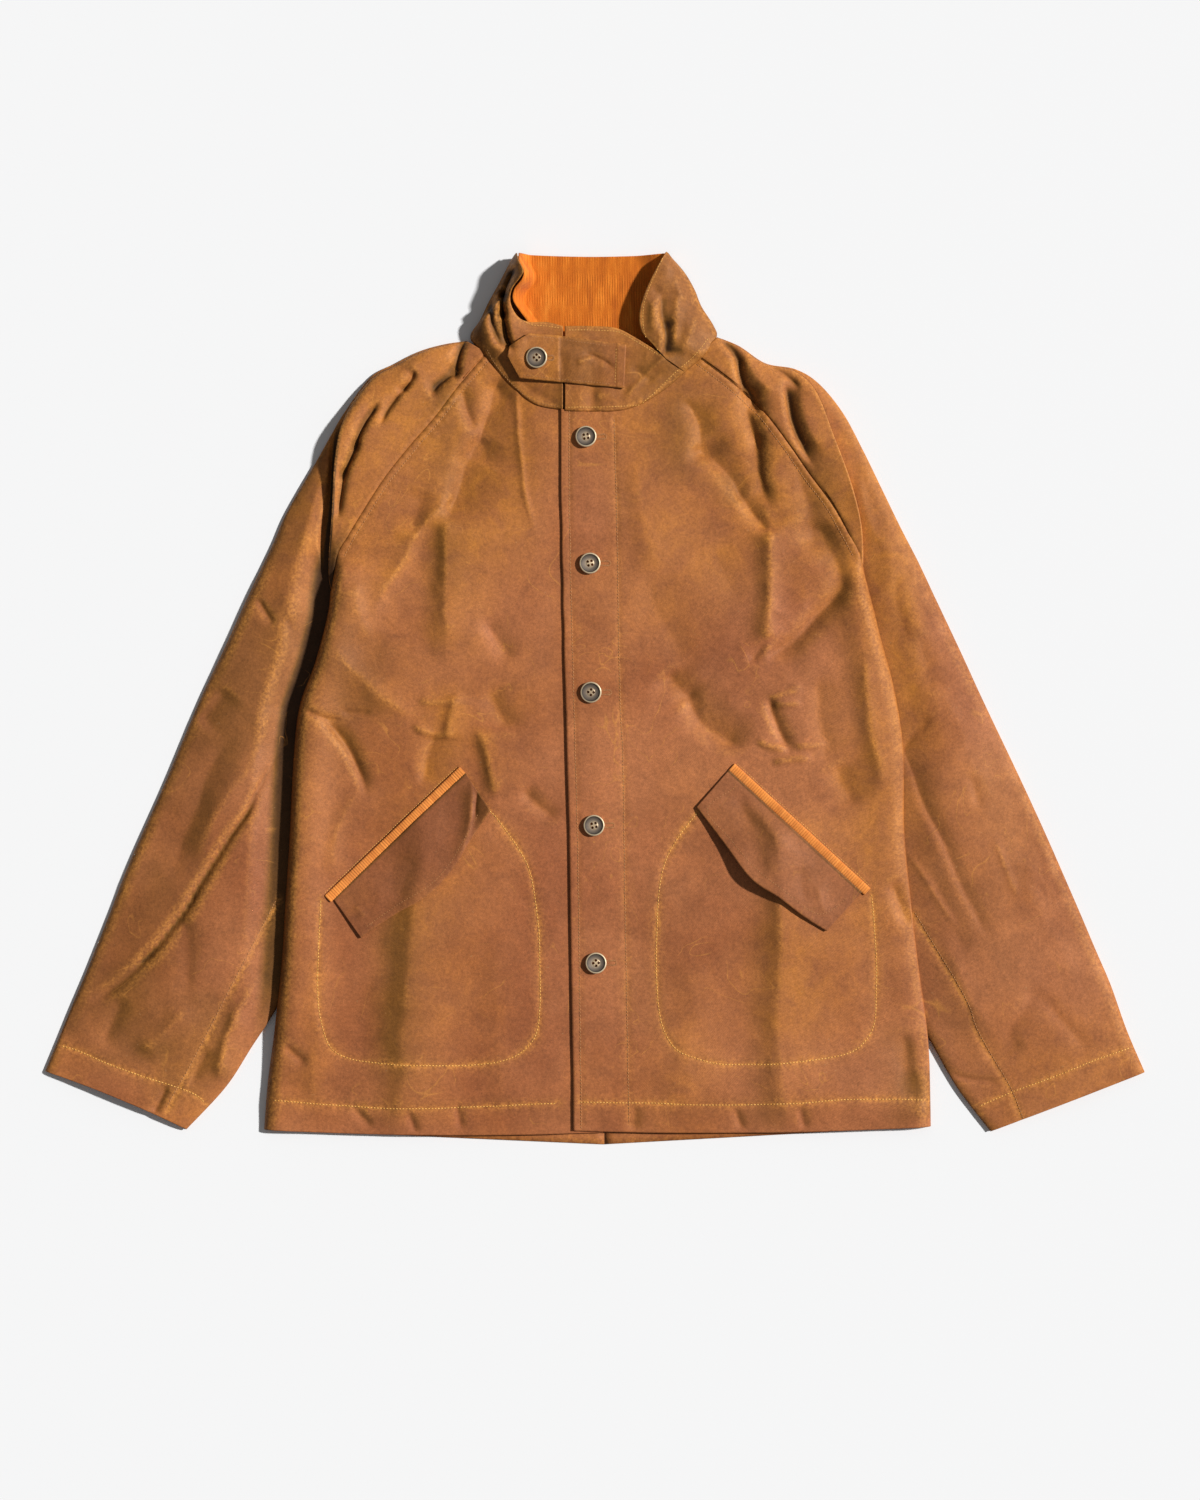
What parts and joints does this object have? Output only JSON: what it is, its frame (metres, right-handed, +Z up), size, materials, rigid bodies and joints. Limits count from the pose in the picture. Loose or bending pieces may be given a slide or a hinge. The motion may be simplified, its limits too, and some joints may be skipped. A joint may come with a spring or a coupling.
{
  "type": "waxed cotton jacket",
  "caption": "Waxed cotton jacket with raglan sleeves, a stand-up corduroy-faced collar, throat tab, button front and slanted flap pockets, fastened and laid flat on its back",
  "frame": {"origin": "middle of the base of the bounding box, on the surface the jacket lies on", "axes": "+Z up from the surface, +Y from the hem towards the collar, +X towards the wearer's left sleeve"},
  "size_m": [1.0982, 0.8904, 0.039],
  "materials": {
    "waxed_cotton": "waxed cotton, tan with olive-gold rub marks, semi-matt",
    "corduroy": "fine-wale cotton corduroy, orange",
    "antique_brass": "antique brass, worn to a pale rim"
  },
  "bodies": {
    "root": {"back_right": "waxed_cotton", "back_left": "waxed_cotton", "sleeve_right_under": "waxed_cotton", "sleeve_left_under": "waxed_cotton", "sleeve_right_upper": "waxed_cotton", "sleeve_left_upper": "waxed_cotton", "front_right": "waxed_cotton", "front_left": "waxed_cotton", "collar_back": "waxed_cotton", "collar_facing": "corduroy", "collar_right": "waxed_cotton", "collar_left": "waxed_cotton", "collar_leaf": "waxed_cotton", "throat_tab": "waxed_cotton", "welt_right": "corduroy", "welt_left": "corduroy", "flap_right": "waxed_cotton", "flap_left": "waxed_cotton", "button_1": "antique_brass", "button_2": "antique_brass", "button_3": "antique_brass", "button_4": "antique_brass", "button_5": "antique_brass", "button_tab": "antique_brass"}
  },
  "joints": []
}
